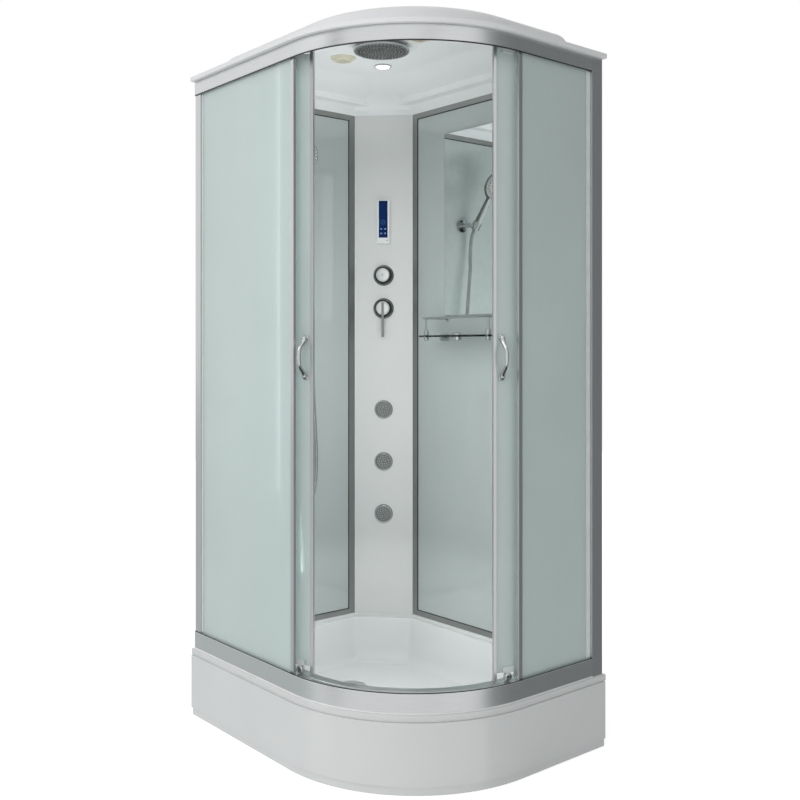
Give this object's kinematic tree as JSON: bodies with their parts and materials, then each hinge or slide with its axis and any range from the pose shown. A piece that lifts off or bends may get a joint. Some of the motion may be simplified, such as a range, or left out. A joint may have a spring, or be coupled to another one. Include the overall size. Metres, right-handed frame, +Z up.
{
  "type": "hydromassage shower cabin",
  "caption": "Corner shower cabin with a deep tray, curved frosted sliding doors, a massage column with jets and controls, a hand shower, a shelf, a mirror and a moulded roof",
  "frame": {"origin": "on the floor under the middle of the tray", "axes": "+X to the right along the back wall, +Y to the back wall, +Z up"},
  "size_m": [1, 0.8, 2.056],
  "materials": {
    "acrylic": "gloss white sheet",
    "panel_white": "gloss pale grey sheet",
    "steel_frame": "zinc paint",
    "foot_plastic": "moulded, black",
    "drain_plastic": "moulded, grey",
    "chrome": "polished",
    "anodised": "satin anodised",
    "frosted_glass": "satin etched",
    "panel_glass": "back-painted, gloss",
    "mirror_glass": "silvered",
    "clear_glass": "clear, polished edge",
    "blue_display": "printed film",
    "key_rubber": "moulded, lit",
    "cream_plastic": "moulded",
    "dark_plastic": "moulded",
    "lamp": "diffuser",
    "grey_plastic": "moulded",
    "brass_pipe": "drawn tube",
    "roller_plastic": "moulded acetal"
  },
  "bodies": {
    "cabin": {"tray": "acrylic", "tray_skirt": "acrylic", "tray_frame": "steel_frame", "levelling_feet": "foot_plastic", "drain_trap": "drain_plastic", "bottom_rail": "anodised", "top_rail": "anodised", "glass_posts": "anodised", "fixed_glass_left": "frosted_glass", "fixed_glass_right": "frosted_glass", "left_wall_frame": "anodised", "left_wall_panel": "panel_glass", "back_wall_frame": "anodised", "back_wall_panel": "panel_glass", "column_panel": "panel_white", "mirror": "mirror_glass", "glass_shelf": "clear_glass", "shelf_rail": "chrome", "control_panel": "acrylic", "control_display": "blue_display", "roof": "acrylic", "overhead_shower": "chrome", "ceiling_light": "lamp", "speaker": "cream_plastic", "fan_housing": "cream_plastic", "valve_bodies": "chrome", "jet_bodies": "chrome", "holder_bracket": "chrome", "hose_outlet": "chrome", "shower_hose": "chrome", "supply_pipes": "brass_pipe"},
    "drain_cover": {"drain_cover": "chrome"},
    "arrow_pad": {"arrow_pad": "key_rubber"},
    "key_1": {"key_1": "key_rubber"},
    "key_2": {"key_2": "key_rubber"},
    "key_3": {"key_3": "key_rubber"},
    "key_4": {"key_4": "key_rubber"},
    "fan_rotor": {"fan_rotor": "dark_plastic"},
    "diverter_knob": {"diverter_knob": "chrome"},
    "mixer_cap": {"mixer_cap": "chrome"},
    "mixer_lever": {"mixer_lever": "chrome"},
    "jet_nozzle_1": {"jet_nozzle_1": "grey_plastic"},
    "jet_nozzle_2": {"jet_nozzle_2": "grey_plastic"},
    "jet_nozzle_3": {"jet_nozzle_3": "grey_plastic"},
    "holder_cup": {"holder_cup": "dark_plastic"},
    "hand_shower": {"hand_shower": "chrome"},
    "left_door": {"left_door_glass": "frosted_glass", "left_door_frame": "anodised", "left_door_handle": "chrome"},
    "right_door": {"right_door_glass": "frosted_glass", "right_door_frame": "anodised", "right_door_handle": "chrome"},
    "left_roller_1": {"left_roller_1": "roller_plastic"},
    "left_roller_2": {"left_roller_2": "roller_plastic"},
    "left_roller_3": {"left_roller_3": "roller_plastic"},
    "left_roller_4": {"left_roller_4": "roller_plastic"},
    "right_roller_1": {"right_roller_1": "roller_plastic"},
    "right_roller_2": {"right_roller_2": "roller_plastic"},
    "right_roller_3": {"right_roller_3": "roller_plastic"},
    "right_roller_4": {"right_roller_4": "roller_plastic"}
  },
  "joints": [
    {"name": "drain_cover_lift", "type": "slide", "parent": "cabin", "child": "drain_cover", "axis": [0, 0, 1], "range_m": [0, 0.05]},
    {"name": "arrow_pad_press", "type": "slide", "parent": "cabin", "child": "arrow_pad", "axis": [-0.7071, 0.7071, 0], "range_m": [0, 0.0008], "stiffness_N_per_m": 600},
    {"name": "key_1_press", "type": "slide", "parent": "cabin", "child": "key_1", "axis": [-0.7071, 0.7071, 0], "range_m": [0, 0.0008], "stiffness_N_per_m": 600},
    {"name": "key_2_press", "type": "slide", "parent": "cabin", "child": "key_2", "axis": [-0.7071, 0.7071, 0], "range_m": [0, 0.0008], "stiffness_N_per_m": 600},
    {"name": "key_3_press", "type": "slide", "parent": "cabin", "child": "key_3", "axis": [-0.7071, 0.7071, 0], "range_m": [0, 0.0008], "stiffness_N_per_m": 600},
    {"name": "key_4_press", "type": "slide", "parent": "cabin", "child": "key_4", "axis": [-0.7071, 0.7071, 0], "range_m": [0, 0.0008], "stiffness_N_per_m": 600},
    {"name": "fan_spin", "type": "hinge", "parent": "cabin", "child": "fan_rotor", "pos_m": [0.167, -0.026, 2.04], "axis": [0, 0, 1], "continuous": true},
    {"name": "diverter_turn", "type": "hinge", "parent": "cabin", "child": "diverter_knob", "pos_m": [-0.4, 0.3, 1.402], "axis": [0.7071, -0.7071, 0], "range_deg": [-90, 90]},
    {"name": "mixer_turn", "type": "hinge", "parent": "cabin", "child": "mixer_cap", "pos_m": [-0.4, 0.3, 1.286], "axis": [0.7071, -0.7071, 0], "range_deg": [-45, 45]},
    {"name": "mixer_lift", "type": "hinge", "parent": "mixer_cap", "child": "mixer_lever", "pos_m": [-0.38105, 0.28105, 1.298], "axis": [-0.7071, -0.7071, 0], "range_deg": [0, 25]},
    {"name": "jet_1_tilt", "type": "hinge", "parent": "cabin", "child": "jet_nozzle_1", "pos_m": [-0.4, 0.3, 0.932], "axis": [0.7071, 0.7071, 0], "range_deg": [-15, 15]},
    {"name": "jet_2_tilt", "type": "hinge", "parent": "cabin", "child": "jet_nozzle_2", "pos_m": [-0.4, 0.3, 0.74951], "axis": [0.7071, 0.7071, 0], "range_deg": [-15, 15]},
    {"name": "jet_3_tilt", "type": "hinge", "parent": "cabin", "child": "jet_nozzle_3", "pos_m": [-0.4, 0.3, 0.56702], "axis": [0.7071, 0.7071, 0], "range_deg": [-15, 15]},
    {"name": "holder_tilt", "type": "hinge", "parent": "cabin", "child": "holder_cup", "pos_m": [-0.425, -0.04, 1.616], "axis": [0, 1, 0], "range_deg": [-25, 20]},
    {"name": "hand_shower_lift", "type": "slide", "parent": "holder_cup", "child": "hand_shower", "axis": [0.4162, -0.1736, 0.8925], "range_m": [0, 0.06]},
    {"name": "left_door_slide", "type": "hinge", "parent": "cabin", "child": "left_door", "pos_m": [-0.09561, 0.35445, 0.26], "axis": [0, 0, 1], "range_deg": [0, 21.5]},
    {"name": "right_door_slide", "type": "hinge", "parent": "cabin", "child": "right_door", "pos_m": [-0.19915, 0.18511, 0.26], "axis": [0, 0, -1], "range_deg": [0, 21.5]},
    {"name": "left_roller_1_spin", "type": "hinge", "parent": "left_door", "child": "left_roller_1", "pos_m": [0.04099, -0.35084, 0.2643], "axis": [0.2924, -0.9563, 0], "continuous": true},
    {"name": "left_roller_2_spin", "type": "hinge", "parent": "left_door", "child": "left_roller_2", "pos_m": [-0.19084, -0.34881, 0.2643], "axis": [-0.309, -0.9511, 0], "continuous": true},
    {"name": "left_roller_3_spin", "type": "hinge", "parent": "left_door", "child": "left_roller_3", "pos_m": [0.04099, -0.35084, 1.9662], "axis": [0.2924, -0.9563, 0], "continuous": true},
    {"name": "left_roller_4_spin", "type": "hinge", "parent": "left_door", "child": "left_roller_4", "pos_m": [-0.19084, -0.34881, 1.9662], "axis": [-0.309, -0.9511, 0], "continuous": true},
    {"name": "right_roller_1_spin", "type": "hinge", "parent": "right_door", "child": "right_roller_1", "pos_m": [0.45084, 0.038, 0.2643], "axis": [0.9563, -0.2924, 0], "continuous": true},
    {"name": "right_roller_2_spin", "type": "hinge", "parent": "right_door", "child": "right_roller_2", "pos_m": [0.44881, 0.26984, 0.2643], "axis": [0.9511, 0.309, 0], "continuous": true},
    {"name": "right_roller_3_spin", "type": "hinge", "parent": "right_door", "child": "right_roller_3", "pos_m": [0.45084, 0.038, 1.9662], "axis": [0.9563, -0.2924, 0], "continuous": true},
    {"name": "right_roller_4_spin", "type": "hinge", "parent": "right_door", "child": "right_roller_4", "pos_m": [0.44881, 0.26984, 1.9662], "axis": [0.9511, 0.309, 0], "continuous": true}
  ],
  "couplings": [
    {"joint": "left_roller_1_spin", "follows": "left_door_slide", "ratio": -59.534},
    {"joint": "left_roller_2_spin", "follows": "left_door_slide", "ratio": -58.19},
    {"joint": "left_roller_3_spin", "follows": "left_door_slide", "ratio": 59.534},
    {"joint": "left_roller_4_spin", "follows": "left_door_slide", "ratio": 58.19},
    {"joint": "right_roller_1_spin", "follows": "right_door_slide", "ratio": 55.383},
    {"joint": "right_roller_2_spin", "follows": "right_door_slide", "ratio": 53.536},
    {"joint": "right_roller_3_spin", "follows": "right_door_slide", "ratio": -55.383},
    {"joint": "right_roller_4_spin", "follows": "right_door_slide", "ratio": -53.536}
  ]
}
